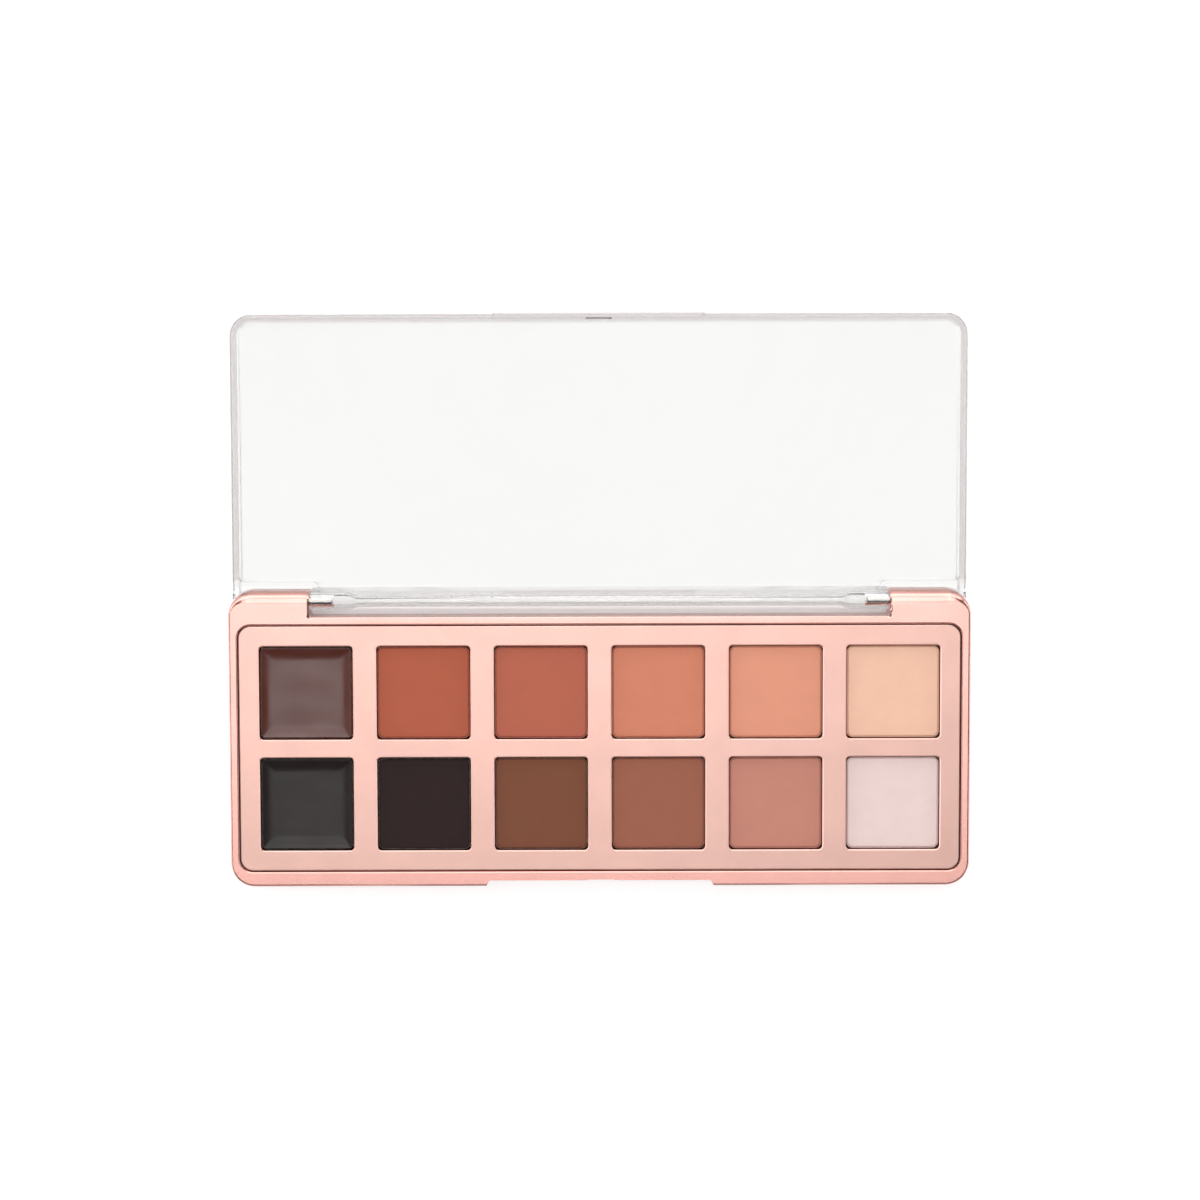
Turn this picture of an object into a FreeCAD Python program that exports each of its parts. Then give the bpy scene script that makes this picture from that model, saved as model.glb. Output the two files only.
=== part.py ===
# Eyeshadow palette: a shallow case with two rows of six square pans under a clear hinged lid.
# Millimetres. The case stands on z = 0 with the middle of its underside at the origin, +X runs
# along the rows, +Y points from the front edge to the hinge and +Z is up. The lid is modelled
# open, lying flat behind the case.
import FreeCAD, Part
import math
import os
from FreeCAD import Vector

# Pans: two rows of six square windows in the tray
COLUMNS = 6
ROW_NAMES = ("front", "back")
WINDOW = 18.0
WINDOW_CORNER = 0.8
COLUMN_BAR = 4.5
ROW_BAR = 3.5
TRAY_MARGIN = 3.95
PAN_GAP = 0.15
PAN_WALL = 0.25
PAN_FLOOR = 0.3
PAN_HEIGHT = 4.5
PAN_CLIP = 0.6
GLUE_PAD = 12.0
GLUE_PAD_THICKNESS = 0.2

# Pressed powder and poured cream in the pans
CAKE_PROUD = 0.15
CAKE_BEVEL = 0.2
CREAM_BORDER = 2.6
CREAM_DIP = 0.45
CREAM_CURVE = ((1.0, 0.0), (0.6, 0.12), (0.3, 0.42), (0.08, 1.0))

# Tray that carries the pans
TRAY_PLATE = 1.2
TRAY_CORNER = 2.4
TRAY_EDGE_ROUND = 0.3
WINDOW_BEVEL = 0.2
WELL_WALL = 0.8
WELL_FLOOR = 0.9
SKIRT_WALL = 0.9
SKIRT_DEPTH = 4.6
CAKE_RECESS = 0.55
TRAY_GAP = 0.1
TRAY_RECESS = 0.15

# Snap lugs that hold the tray in the case
SNAP_LENGTH = 8.0
SNAP_HEIGHT = 1.0
SNAP_PROUD = 0.5
SNAP_CLEARANCE = 0.15
SNAP_PITCH = 45.0
SNAP_ROWS = (-1, 0, 1)
SNAP_RISE = 0.6

# Case
FLOOR = 1.55
RIM_SIDE = 1.7
RIM_FRONT = 2.9
BACK_STRIP = 1.5
CASE_CORNER = 4.6
BOTTOM_ROUND = 1.0
RIM_OUTER_ROUND = 0.45
RIM_INNER_BEVEL = 0.2
CHANNEL_BEVEL_REACH = 0.6
CHANNEL_BEVEL_DROP = 0.25

# Hinge: an ear at each back corner of the case, with the lid's rail between them
EAR_LENGTH = 15.4
EAR_RADIUS = 1.95
EAR_EDGE_ROUND = 2.8
CHANNEL_REACH = 3.0
CHANNEL_CORNER = 0.5
KNUCKLE_RADIUS = 1.75
KNUCKLE_LENGTH = 7.2
KNUCKLE_TAPER = 1.8
RAIL_THICKNESS = 2.2
END_PLAY = 0.35
PIN_DIAMETER = 1.5
PIN_REACH = 4.4
PIN_RECESS = 1.2
PIN_CHAMFER = 0.15
PIN_CLEARANCE = 0.05
BORE_SPARE = 0.4

# Clear lid
LID_WALL = 1.2
LID_PANEL = 1.3
LID_SIDE_INSET = 0.5
LID_FRONT_INSET = 0.3
LID_EDGE_ROUND = 0.9
LID_INNER_BEVEL = 0.5
LID_INNER_CORNER = 1.0
LID_HORN_CORNER = 1.5
LID_CLEARANCE = 0.3
CLOSING_GAP = 0.15

# Thumb tab on the lid, the notch it hangs in and the catch between them
NOTCH_WIDTH = 43.8
NOTCH_DEPTH = 1.1
NOTCH_SLANT = 0.6
NOTCH_CORNER = 0.5
TAB_WIDTH = 40.5
TAB_DROP = 2.6
TAB_ROOT = 1.6
TAB_CORNER = 0.8
TAB_CLEARANCE = 0.2
CATCH_WIDTH = 5.0
CATCH_RADIUS = 0.4
CATCH_DROP = 1.7
CATCH_CLEARANCE = 0.2
CATCH_LEAD = 0.12

# Sizes and places that follow from the ones above
PITCH_X = WINDOW + COLUMN_BAR
PITCH_Y = WINDOW + ROW_BAR
TRAY_WIDTH = COLUMNS * WINDOW + (COLUMNS - 1) * COLUMN_BAR + 2 * TRAY_MARGIN
TRAY_DEPTH = len(ROW_NAMES) * WINDOW + (len(ROW_NAMES) - 1) * ROW_BAR + 2 * TRAY_MARGIN
CASE_WIDTH = TRAY_WIDTH + 2 * TRAY_GAP + 2 * RIM_SIDE
CASE_DEPTH = RIM_FRONT + TRAY_DEPTH + 2 * TRAY_GAP + BACK_STRIP + CHANNEL_REACH + EAR_RADIUS
FRONT_Y = -CASE_DEPTH / 2
BACK_Y = CASE_DEPTH / 2
AXIS_Y = BACK_Y - EAR_RADIUS
TRAY_Y = FRONT_Y + RIM_FRONT + TRAY_GAP + TRAY_DEPTH / 2
EAR_INNER = CASE_WIDTH / 2 - EAR_LENGTH
PAN_SEAT = FLOOR + WELL_FLOOR + GLUE_PAD_THICKNESS
PAN_SIZE = WINDOW - 2 * PAN_GAP
CAKE_SIZE = PAN_SIZE - 2 * PAN_WALL
CAKE_CLIP = PAN_CLIP - (2 - math.sqrt(2)) * PAN_WALL
CAKE_TOP = PAN_SEAT + PAN_HEIGHT + CAKE_PROUD
TRAY_TOP = CAKE_TOP + CAKE_RECESS
RIM_TOP = TRAY_TOP + TRAY_RECESS
AXIS_Z = RIM_TOP - EAR_RADIUS
LID_RIM = 2 * AXIS_Z - RIM_TOP - CLOSING_GAP
LID_HALF = CASE_WIDTH / 2 - LID_SIDE_INSET
LID_FAR_Y = 2 * AXIS_Y - FRONT_Y - LID_FRONT_INSET
TONGUE_HALF = EAR_INNER - END_PLAY
PIN_RADIUS = PIN_DIAMETER / 2
ALONG_X = Vector(1, 0, 0)
BEYOND = 1.0


def outline(corners):
    """Closed wire through (x, y, radius) corners, each rounded by an arc tangent to its two sides."""
    points = [Vector(x, y, 0) for x, y, radius in corners]
    arcs = []
    for i, (x, y, radius) in enumerate(corners):
        before = (points[i - 1] - points[i]).normalize()
        after = (points[(i + 1) % len(points)] - points[i]).normalize()
        half_angle = before.getAngle(after) / 2
        inward = (before + after).normalize()
        start = points[i] + before * (radius / math.tan(half_angle))
        end = points[i] + after * (radius / math.tan(half_angle))
        middle = points[i] + inward * (radius / math.sin(half_angle) - radius)
        arcs.append((start, middle, end))
    edges = []
    for i, (start, middle, end) in enumerate(arcs):
        edges.append(Part.Arc(start, middle, end).toShape())
        edges.append(Part.LineSegment(end, arcs[(i + 1) % len(arcs)][0]).toShape())
    return Part.Wire(edges)


def rectangle(left, right, front, back, radius):
    """Corners of a rectangle with one corner radius, anticlockwise from the front left."""
    return [(left, front, radius), (right, front, radius), (right, back, radius), (left, back, radius)]


def square(x, y, size, radius):
    """Corners of a rounded square about a point."""
    return rectangle(x - size / 2, x + size / 2, y - size / 2, y + size / 2, radius)


def clipped_square(x, y, size, clip):
    """Closed wire of a square about a point, with each corner cut off by a flat that takes clip from both sides."""
    half = size / 2
    short = half - clip
    ring = [
        (short, -half),
        (half, -short),
        (half, short),
        (short, half),
        (-short, half),
        (-half, short),
        (-half, -short),
        (-short, -half),
        (short, -half),
    ]
    return Part.makePolygon([Vector(x + along, y + across, 0) for along, across in ring])


def raised(wire, low, high):
    """Upright prism on a closed wire, from height low to height high."""
    face = Part.Face(wire)
    face.translate(Vector(0, 0, low))
    return face.extrude(Vector(0, 0, high - low))


def slab(corners, low, high):
    """Upright prism on a rounded outline, from height low to height high."""
    return raised(outline(corners), low, high)


def box(left, right, front, back, low, high):
    """Plain block between six limits."""
    return Part.makeBox(right - left, back - front, high - low, Vector(left, front, low))


def bar(radius, left, right, y, z):
    """Round bar along X between two places."""
    return Part.makeCylinder(radius, right - left, Vector(left, y, z), ALONG_X)


def edges_at(shape, height):
    """Edges that lie wholly at one height."""
    level = []
    for edge in shape.Edges:
        limits = edge.BoundBox
        if abs(limits.ZMin - height) < 1e-6 and abs(limits.ZMax - height) < 1e-6:
            level.append(edge)
    return level


def round_rim(shape, height, side_radius, back_radius, back_y):
    """Rounds the top edge of a rounded block, opening from one radius to a larger one round the back corners."""
    level = edges_at(shape, height)
    sheet = FreeCAD.newDocument("rim")
    block = sheet.addObject("Part::Feature", "block")
    block.Shape = shape
    choices = []
    for number, edge in enumerate(shape.Edges, 1):
        if not any(edge.isSame(other) for other in level):
            continue
        ends = [edge.valueAt(edge.FirstParameter), edge.valueAt(edge.LastParameter)]
        radii = [back_radius if abs(end.y - back_y) < 1e-6 else side_radius for end in ends]
        choices.append((number, radii[0], radii[1]))
    rounding = sheet.addObject("Part::Fillet", "rounding")
    rounding.Base = block
    rounding.Edges = choices
    sheet.recompute()
    result = rounding.Shape.copy()
    FreeCAD.closeDocument(sheet.Name)
    return result


def pan_places():
    """Name and centre of every pan, row by row from the left."""
    places = []
    for row, row_name in enumerate(ROW_NAMES):
        y = TRAY_Y + (row - (len(ROW_NAMES) - 1) / 2) * PITCH_Y
        for column in range(COLUMNS):
            x = (column - (COLUMNS - 1) / 2) * PITCH_X
            places.append((row_name, column + 1, x, y))
    return places


def snap_seats():
    """Middle of each snap lug along X, with the side of the tray it is on."""
    return [(place * SNAP_PITCH, side) for place in SNAP_ROWS for side in (-1, 1)]


def snap_low():
    """Height of the underside of the snap lugs."""
    return TRAY_TOP - SKIRT_DEPTH + SNAP_RISE


def base_shell():
    """Lower case: rounded shell with a rim, hinge ears, thumb notch and catch slot."""
    half = CASE_WIDTH / 2
    shell = slab(rectangle(-half, half, FRONT_Y, BACK_Y, CASE_CORNER), 0, RIM_TOP)
    shell = shell.makeFillet(BOTTOM_ROUND, edges_at(shell, 0))
    shell = round_rim(shell, RIM_TOP, RIM_OUTER_ROUND, EAR_EDGE_ROUND, BACK_Y)
    reach_x = TRAY_WIDTH / 2 + TRAY_GAP
    reach_y = TRAY_DEPTH / 2 + TRAY_GAP
    cavity = slab(
        rectangle(-reach_x, reach_x, TRAY_Y - reach_y, TRAY_Y + reach_y, TRAY_CORNER + TRAY_GAP),
        FLOOR,
        RIM_TOP,
    )
    channel_y = AXIS_Y - CHANNEL_REACH
    channel = slab(
        rectangle(-EAR_INNER, EAR_INNER, channel_y, BACK_Y + BEYOND, CHANNEL_CORNER),
        -BEYOND,
        RIM_TOP + BEYOND,
    )
    shell = shell.cut(channel)
    strip_edges = [
        edge
        for edge in edges_at(shell, RIM_TOP)
        if edge.BoundBox.YMax < channel_y + CHANNEL_CORNER and edge.BoundBox.YMin > channel_y - 1e-6
    ]
    shell = shell.makeChamfer(CHANNEL_BEVEL_REACH, CHANNEL_BEVEL_DROP, strip_edges)
    shell = shell.cut(cavity)
    mouth_edges = [
        edge
        for edge in edges_at(shell, RIM_TOP)
        if edge.BoundBox.YMax < TRAY_Y + reach_y + 1e-6
        and edge.BoundBox.YMin > TRAY_Y - reach_y - 1e-6
        and abs(edge.CenterOfMass.x) < reach_x + 1e-6
    ]
    shell = shell.makeChamfer(RIM_INNER_BEVEL, mouth_edges)
    wide = NOTCH_WIDTH / 2
    notch_y = FRONT_Y + NOTCH_DEPTH
    notch = slab(
        [
            (-wide - NOTCH_SLANT, FRONT_Y - NOTCH_DEPTH, NOTCH_CORNER),
            (wide + NOTCH_SLANT, FRONT_Y - NOTCH_DEPTH, NOTCH_CORNER),
            (wide - NOTCH_SLANT, notch_y, NOTCH_CORNER),
            (-wide + NOTCH_SLANT, notch_y, NOTCH_CORNER),
        ],
        -BEYOND,
        RIM_TOP + BEYOND,
    )
    shell = shell.cut(notch)
    slot_half = CATCH_WIDTH / 2 + CATCH_CLEARANCE
    slot_z = RIM_TOP - CATCH_DROP
    slot_reach = CATCH_RADIUS + CATCH_CLEARANCE
    slot_depth = CATCH_RADIUS - TAB_CLEARANCE + CATCH_CLEARANCE
    slot = box(
        -slot_half, slot_half, notch_y - BEYOND, notch_y + slot_depth, slot_z - slot_reach, slot_z + slot_reach
    )
    lead = box(-slot_half, slot_half, notch_y - BEYOND, notch_y + CATCH_LEAD, slot_z, RIM_TOP + BEYOND)
    shell = shell.cut([slot, lead])
    snap_reach = SNAP_PROUD - TRAY_GAP + SNAP_CLEARANCE
    seats = []
    for x, side in snap_seats():
        wall_y = TRAY_Y + side * reach_y
        ends = sorted((wall_y, wall_y + side * snap_reach))
        long = SNAP_LENGTH / 2 + SNAP_CLEARANCE
        seats.append(
            box(
                x - long,
                x + long,
                ends[0],
                ends[1],
                snap_low() - SNAP_CLEARANCE,
                snap_low() + SNAP_HEIGHT + SNAP_CLEARANCE,
            )
        )
    shell = shell.cut(seats)
    pin_holes = [
        bar(PIN_RADIUS, -half - BEYOND, -EAR_INNER + BEYOND, AXIS_Y, AXIS_Z),
        bar(PIN_RADIUS, EAR_INNER - BEYOND, half + BEYOND, AXIS_Y, AXIS_Z),
    ]
    return shell.cut(pin_holes)


def pan_tray():
    """Tray plate with a rounded edge, a skirt, twelve floored wells and snap lugs."""
    half_x = TRAY_WIDTH / 2
    half_y = TRAY_DEPTH / 2
    plate = slab(
        rectangle(-half_x, half_x, TRAY_Y - half_y, TRAY_Y + half_y, TRAY_CORNER),
        TRAY_TOP - SKIRT_DEPTH,
        TRAY_TOP,
    )
    plate = plate.makeFillet(TRAY_EDGE_ROUND, edges_at(plate, TRAY_TOP))
    inner_x = half_x - SKIRT_WALL
    inner_y = half_y - SKIRT_WALL
    hollow = slab(
        rectangle(-inner_x, inner_x, TRAY_Y - inner_y, TRAY_Y + inner_y, TRAY_CORNER - SKIRT_WALL),
        TRAY_TOP - SKIRT_DEPTH,
        TRAY_TOP - TRAY_PLATE,
    )
    places = [(x, y) for row_name, column, x, y in pan_places()]
    reach = WINDOW / 2 + WELL_WALL
    wells = [
        box(x - reach, x + reach, y - reach, y + reach, FLOOR, TRAY_TOP - TRAY_PLATE) for x, y in places
    ]
    pockets = [slab(square(x, y, WINDOW, WINDOW_CORNER), FLOOR + WELL_FLOOR, TRAY_TOP) for x, y in places]
    tray = plate.cut(hollow).fuse(wells).cut(pockets)
    window_edges = [
        edge
        for edge in edges_at(tray, TRAY_TOP)
        if any(
            abs(edge.CenterOfMass.x - x) < WINDOW / 2 + 1e-6 and abs(edge.CenterOfMass.y - y) < WINDOW / 2 + 1e-6
            for x, y in places
        )
    ]
    tray = tray.makeChamfer(WINDOW_BEVEL, window_edges)
    lugs = []
    for x, side in snap_seats():
        wall_y = TRAY_Y + side * half_y
        root_y = wall_y - side * SKIRT_WALL / 2
        tip_y = wall_y + side * SNAP_PROUD
        low = snap_low()
        high = low + SNAP_HEIGHT
        left = x - SNAP_LENGTH / 2
        ramp = Part.makePolygon(
            [
                Vector(left, root_y, low),
                Vector(left, wall_y, low),
                Vector(left, tip_y, high - SNAP_HEIGHT / 2),
                Vector(left, tip_y, high),
                Vector(left, root_y, high),
                Vector(left, root_y, low),
            ]
        )
        lugs.append(Part.Face(ramp).extrude(Vector(SNAP_LENGTH, 0, 0)))
    return tray.fuse(lugs).removeSplitter()


def pan(x, y):
    """Thin square metal cup with one even wall, standing on its glue pad."""
    rim = PAN_SEAT + PAN_HEIGHT
    cup = raised(clipped_square(x, y, PAN_SIZE, PAN_CLIP), PAN_SEAT, rim)
    return cup.cut(raised(clipped_square(x, y, CAKE_SIZE, CAKE_CLIP), PAN_SEAT + PAN_FLOOR, rim + BEYOND))


def powder_cake(x, y):
    """Pressed powder that fills a pan and stands a little over its rim."""
    cake = raised(clipped_square(x, y, CAKE_SIZE, CAKE_CLIP), PAN_SEAT + PAN_FLOOR, CAKE_TOP)
    return cake.makeChamfer(CAKE_BEVEL, edges_at(cake, CAKE_TOP))


def cream_cake(x, y):
    """Poured cream: level in the middle, drawn up to the pan wall round its border."""
    cake = raised(clipped_square(x, y, CAKE_SIZE, CAKE_CLIP), PAN_SEAT + PAN_FLOOR, CAKE_TOP)
    rings = []
    for share, rise in CREAM_CURVE:
        ring = clipped_square(x, y, CAKE_SIZE - 2 * CREAM_BORDER * share, CAKE_CLIP)
        ring.translate(Vector(0, 0, CAKE_TOP - CREAM_DIP * (1 - rise)))
        rings.append(ring)
    return cake.cut(Part.makeLoft(rings, True, True))


def glue_pads():
    """One square of double-sided adhesive under every pan, as a group."""
    half = GLUE_PAD / 2
    low = FLOOR + WELL_FLOOR
    return Part.makeCompound(
        [
            box(x - half, x + half, y - half, y + half, low, low + GLUE_PAD_THICKNESS)
            for row_name, column, x, y in pan_places()
        ]
    )


def hinge_pin(side):
    """Steel pin pressed into an ear from outside, reaching into the lid's knuckle."""
    ends = sorted((side * (EAR_INNER - PIN_REACH), side * (CASE_WIDTH / 2 - PIN_RECESS)))
    pin = bar(PIN_RADIUS, ends[0], ends[1], AXIS_Y, AXIS_Z)
    rims = [edge for edge in pin.Edges if edge.Closed]
    return pin.makeChamfer(PIN_CHAMFER, rims)


def lid_tab():
    """Thumb tab that hangs in the notch when the lid is closed, with the catch bead on its inner face."""
    outer_y = 2 * AXIS_Y - FRONT_Y
    inner_y = outer_y - NOTCH_DEPTH + TAB_CLEARANCE
    low = LID_RIM - TAB_ROOT
    high = 2 * AXIS_Z - RIM_TOP + TAB_DROP
    wide = TAB_WIDTH / 2
    face = Part.Face(outline(rectangle(-wide, wide, low, high, TAB_CORNER)))
    face.rotate(Vector(0, 0, 0), ALONG_X, 90)
    face.translate(Vector(0, outer_y, 0))
    tab = face.extrude(Vector(0, inner_y - outer_y, 0))
    bead = bar(
        CATCH_RADIUS, -CATCH_WIDTH / 2, CATCH_WIDTH / 2, inner_y, 2 * AXIS_Z - RIM_TOP + CATCH_DROP
    )
    within = box(-wide, wide, inner_y - CATCH_RADIUS, outer_y, low, high)
    return tab.fuse(bead.common(within))


def clear_lid():
    """Clear lid lying open: panel below, walls up, hinge rail and knuckles between the ears."""
    near_y = AXIS_Y - RAIL_THICKNESS / 2
    far_corner = CASE_CORNER - LID_SIDE_INSET
    body = slab(
        [
            (-LID_HALF, near_y, LID_HORN_CORNER),
            (LID_HALF, near_y, LID_HORN_CORNER),
            (LID_HALF, LID_FAR_Y, far_corner),
            (-LID_HALF, LID_FAR_Y, far_corner),
        ],
        0,
        LID_RIM,
    )
    body = body.makeFillet(LID_EDGE_ROUND, edges_at(body, 0))
    half = CASE_WIDTH / 2 + LID_CLEARANCE
    case_room = slab(
        rectangle(-half, half, FRONT_Y, BACK_Y + LID_CLEARANCE, CASE_CORNER + LID_CLEARANCE),
        -BEYOND,
        LID_RIM + BEYOND,
    )
    between = box(-TONGUE_HALF, TONGUE_HALF, FRONT_Y, LID_FAR_Y, -BEYOND, LID_RIM + BEYOND)
    body = body.cut(case_room.cut(between))
    side_x = LID_HALF - LID_WALL
    tongue_x = TONGUE_HALF - LID_WALL
    notch_y = BACK_Y + LID_CLEARANCE + LID_WALL
    rail_y = AXIS_Y + RAIL_THICKNESS / 2
    inner_far_y = LID_FAR_Y - LID_WALL
    hollow = slab(
        [
            (-side_x, inner_far_y, far_corner - LID_WALL),
            (-side_x, notch_y, LID_INNER_CORNER),
            (-tongue_x, notch_y, LID_INNER_CORNER),
            (-tongue_x, rail_y, LID_INNER_CORNER),
            (tongue_x, rail_y, LID_INNER_CORNER),
            (tongue_x, notch_y, LID_INNER_CORNER),
            (side_x, notch_y, LID_INNER_CORNER),
            (side_x, inner_far_y, far_corner - LID_WALL),
        ],
        LID_PANEL,
        LID_RIM + BEYOND,
    )
    hollow = hollow.makeChamfer(LID_INNER_BEVEL, edges_at(hollow, LID_PANEL))
    body = body.cut(hollow)
    rail_wall = box(-TONGUE_HALF, TONGUE_HALF, near_y, rail_y, LID_PANEL, AXIS_Z)
    rail = bar(RAIL_THICKNESS / 2, -TONGUE_HALF, TONGUE_HALF, AXIS_Y, AXIS_Z)
    knuckles = []
    for side in (-1, 1):
        outer = side * TONGUE_HALF
        inner = side * (TONGUE_HALF - KNUCKLE_LENGTH)
        ends = sorted((outer, inner))
        knuckles.append(bar(KNUCKLE_RADIUS, ends[0], ends[1], AXIS_Y, AXIS_Z))
        knuckles.append(
            Part.makeCone(
                KNUCKLE_RADIUS,
                RAIL_THICKNESS / 2,
                KNUCKLE_TAPER,
                Vector(inner, AXIS_Y, AXIS_Z),
                Vector(-side, 0, 0),
            )
        )
    body = body.fuse([rail_wall, rail, lid_tab()] + knuckles)
    bore_radius = PIN_RADIUS + PIN_CLEARANCE
    bore_end = EAR_INNER - PIN_REACH - BORE_SPARE
    bores = [
        bar(bore_radius, -EAR_INNER, -bore_end, AXIS_Y, AXIS_Z),
        bar(bore_radius, bore_end, EAR_INNER, AXIS_Y, AXIS_Z),
    ]
    return body.cut(bores).removeSplitter()


def build():
    """Every piece of the palette by node name."""
    pieces = {
        "base_shell": base_shell(),
        "pan_tray": pan_tray(),
        "clear_lid": clear_lid(),
        "hinge_pin_left": hinge_pin(-1),
        "hinge_pin_right": hinge_pin(1),
        "glue_pads": glue_pads(),
    }
    for row_name, column, x, y in pan_places():
        pieces[f"pan_{row_name}_{column}"] = pan(x, y)
        if column == 1:
            pieces[f"cream_{row_name}_{column}"] = cream_cake(x, y)
        else:
            pieces[f"powder_{row_name}_{column}"] = powder_cake(x, y)
    return pieces


def main():
    """Writes one STEP file per piece and prints its size."""
    os.makedirs("parts", exist_ok=True)
    for name, shape in build().items():
        shape.exportStep(f"parts/{name}.step")
        limits = shape.BoundBox
        print(
            f"{name}: {len(shape.Solids)} solid(s), valid {shape.isValid()}, {shape.Volume:.1f} mm3, "
            f"x {limits.XMin:.2f} to {limits.XMax:.2f}, y {limits.YMin:.2f} to {limits.YMax:.2f}, "
            f"z {limits.ZMin:.2f} to {limits.ZMax:.2f}"
        )
    print(f"hinge axis y {AXIS_Y:.4f} z {AXIS_Z:.4f}, case {CASE_WIDTH:.2f} x {CASE_DEPTH:.2f} x {RIM_TOP:.2f}")


if __name__ == "__main__":
    main()
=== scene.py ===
# %% [markdown]
# # An eyeshadow palette, seen from above
#
# The palette is a slim rose-gold case with twelve square pans and a clear lid that lies open
# behind it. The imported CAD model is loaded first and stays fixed: it says where every piece is
# and which body it moves with. Each cell after that dresses one piece or one finish.

# %% Load the frame
import math

import bmesh
import bpy
import numpy as np
from mathutils import Matrix, Vector


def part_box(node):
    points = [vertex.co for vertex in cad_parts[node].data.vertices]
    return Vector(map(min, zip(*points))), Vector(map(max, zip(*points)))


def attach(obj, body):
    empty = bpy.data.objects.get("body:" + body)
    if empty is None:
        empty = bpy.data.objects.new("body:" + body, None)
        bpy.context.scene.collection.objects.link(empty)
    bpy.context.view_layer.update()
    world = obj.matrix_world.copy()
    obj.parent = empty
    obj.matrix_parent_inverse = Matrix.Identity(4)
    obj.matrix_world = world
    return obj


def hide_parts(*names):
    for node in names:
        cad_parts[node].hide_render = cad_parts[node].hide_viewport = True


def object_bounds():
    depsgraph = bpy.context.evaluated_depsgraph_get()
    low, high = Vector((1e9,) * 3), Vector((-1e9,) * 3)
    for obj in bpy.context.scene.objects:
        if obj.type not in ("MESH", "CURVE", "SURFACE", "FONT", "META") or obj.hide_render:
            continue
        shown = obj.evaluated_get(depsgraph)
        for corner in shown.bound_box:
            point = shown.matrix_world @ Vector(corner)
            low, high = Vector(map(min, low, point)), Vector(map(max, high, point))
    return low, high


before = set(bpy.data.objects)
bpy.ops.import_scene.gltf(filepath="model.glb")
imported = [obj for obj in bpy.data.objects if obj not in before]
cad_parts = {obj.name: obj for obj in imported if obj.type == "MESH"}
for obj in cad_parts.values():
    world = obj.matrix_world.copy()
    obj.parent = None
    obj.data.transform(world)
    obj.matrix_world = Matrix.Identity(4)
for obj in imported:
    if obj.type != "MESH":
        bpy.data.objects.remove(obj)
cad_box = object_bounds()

MM = 0.001
print("CAD box in mm:", [round(side / MM, 2) for side in cad_box[1] - cad_box[0]])

# %% [markdown]
# ## From arrays to a mesh
#
# Most pieces in the pans are nearly square, so one kind of surface makes them all: a stack of
# closed rings, each a square with rounded corners. Going from ring to ring changes the size of
# the square, its corner radius and its height, which draws the section of the piece. A modelling
# tool would start from a cube and bevel it. Worked out as arrays, the section stays a short list
# of numbers that can be read and changed.

# %% Rings of rounded squares
CORNER_STEPS = 7
SIDE_STEPS = 24


def rounded_rings(half, radius):
    """Rings of rounded squares about the origin, as x and y arrays over (ring, step).

    Formula: a corner is a quarter circle of the given radius about (half - radius) on both axes.
    The side after it is a straight run back by twice (half - radius). The other three quarters
    are this one turned by 90, 180 and 270 degrees.
    """
    half = np.asarray(half, float)[:, None]
    radius = np.minimum(np.asarray(radius, float)[:, None], half)
    turn = np.linspace(0, np.pi / 2, CORNER_STEPS)[None, :]
    back = np.linspace(1, -1, SIDE_STEPS + 2)[None, 1:-1]
    straight = half - radius
    x = np.hstack([straight + radius * np.cos(turn), straight * back])
    y = np.hstack([straight + radius * np.sin(turn), half + 0 * back])
    return np.hstack([x, -y, -x, y]), np.hstack([y, x, -y, -x])


print("one ring has", 4 * (CORNER_STEPS + SIDE_STEPS), "points")

# %% [markdown]
# ## From rings to a piece
#
# Rings become a piece in two moves. Quads join each ring to the next, and a fan of triangles closes
# the first and the last, so that the mesh has no hole. Then an object takes the mesh, rides on the
# case or the lid, and stands in for the CAD node that it dresses.

# %% Meshes and pieces
def ring_mesh(name, points):
    """Mesh over a (ring, step, 3) array of points that closes round each ring and at both ends.

    Formula: point (r, s) joins (r + 1, s) and (r, s + 1), with the last step joined to the first.
    The mean of the first ring and the mean of the last ring are the two poles.
    """
    rings, steps, _ = points.shape
    number = np.arange(rings * steps).reshape(rings, steps)
    after = np.roll(number, -1, axis=1)
    quads = np.stack([number[:-1], number[1:], after[1:], after[:-1]], axis=-1).reshape(-1, 4)
    first = np.stack([0 * number[0] + rings * steps, number[0], after[0]], axis=-1)
    last = np.stack([0 * number[0] + rings * steps + 1, after[-1], number[-1]], axis=-1)
    poles = points[[0, -1]].mean(axis=1)
    mesh = bpy.data.meshes.new(name)
    mesh.from_pydata(
        np.vstack([points.reshape(-1, 3), poles]).tolist(),
        [],
        quads.tolist() + first.tolist() + last.tolist(),
    )
    mesh.shade_smooth()
    mesh.update()
    return mesh


def place(mesh, node, body, material):
    """Object for a finished mesh: it rides on a body, stands for a CAD node and takes one material."""
    obj = bpy.data.objects.new(mesh.name, mesh)
    bpy.context.scene.collection.objects.link(obj)
    mesh.materials.clear()
    mesh.materials.append(material)
    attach(obj, body)
    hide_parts(node)
    return obj


def middle(node):
    """Plan centre of a CAD node."""
    low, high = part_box(node)
    return (low.x + high.x) / 2, (low.y + high.y) / 2


print("the lid's middle in plan is", [round(part / MM, 2) for part in middle("clear_lid")], "mm")

# %% [markdown]
# ## A small kit for materials
#
# Every finish is a Principled shader with a few noise textures on Object coordinates, so that a
# pattern keeps its real size in millimetres and stays with the piece when the lid turns. The nodes
# could be placed by hand in the shader editor. A few helpers do it in code: they start a material,
# add a noise, map a range, mix two tones, raise a bump and darken a paint.

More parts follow.
